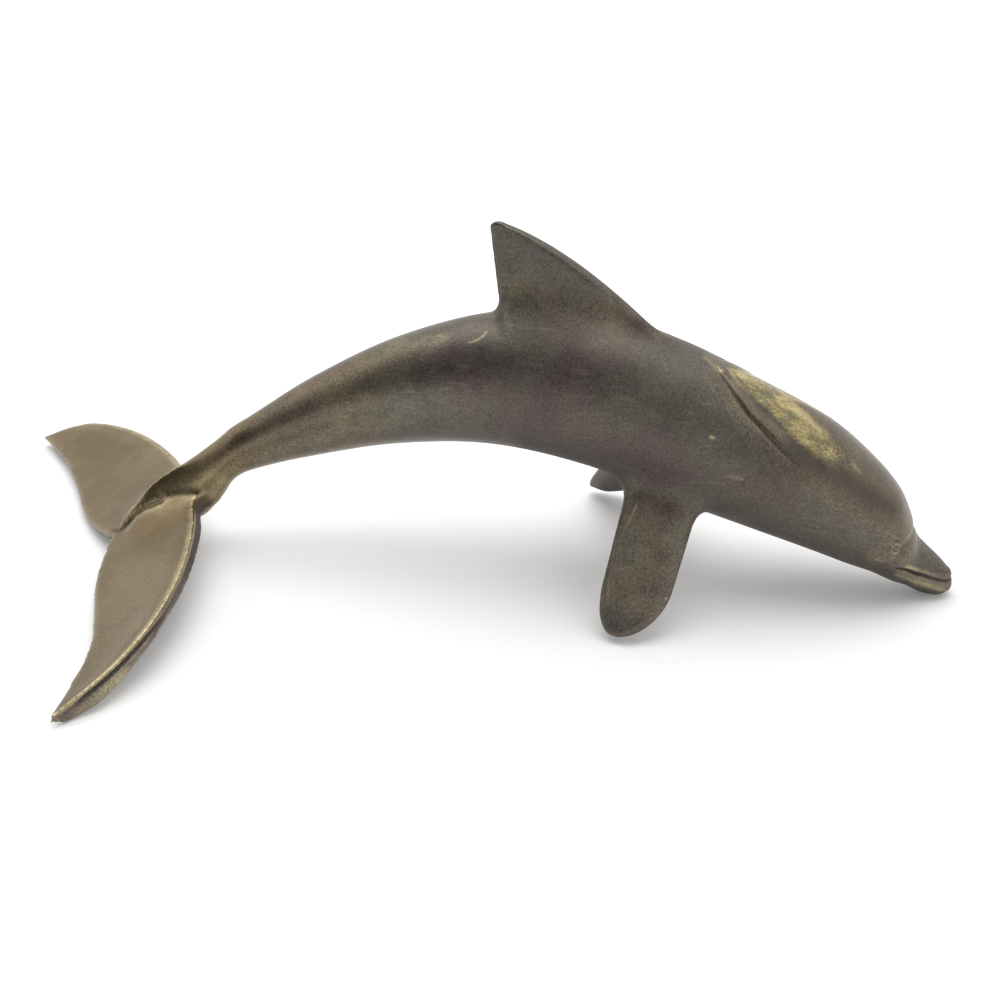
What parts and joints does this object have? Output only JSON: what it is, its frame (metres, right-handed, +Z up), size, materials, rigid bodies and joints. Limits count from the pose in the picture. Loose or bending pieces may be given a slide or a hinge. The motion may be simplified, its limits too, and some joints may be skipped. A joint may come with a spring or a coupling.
{
  "type": "brass dolphin figurine",
  "caption": "Leaping dolphin ornament in patinated cast brass, free-standing on its beak and the tips of its tail flukes.",
  "frame": {"origin": "on the table, under the middle of the figure's bounding box", "axes": "+X points out of the beak, +Y to the animal's left, +Z up from the table"},
  "size_m": [0.213, 0.1108, 0.0742],
  "materials": {
    "body_brass": "mottled dark patina, satin",
    "crown_brass": "rubbed golden, satin",
    "fin_brass": "dark patina, satin",
    "fluke_brass": "lighter bronze gold patina, smooth satin",
    "pin_brass": "drawn, plain"
  },
  "bodies": {
    "root": {"right_body_half": "body_brass", "left_body_half": "body_brass", "crown_cap": "crown_brass", "dorsal_fin": "fin_brass", "right_flipper": "fin_brass", "left_flipper": "fin_brass", "tail_flukes": "fluke_brass", "front_dowel": "pin_brass", "middle_dowel": "pin_brass", "rear_dowel": "pin_brass", "tail_pin": "pin_brass"}
  },
  "joints": []
}
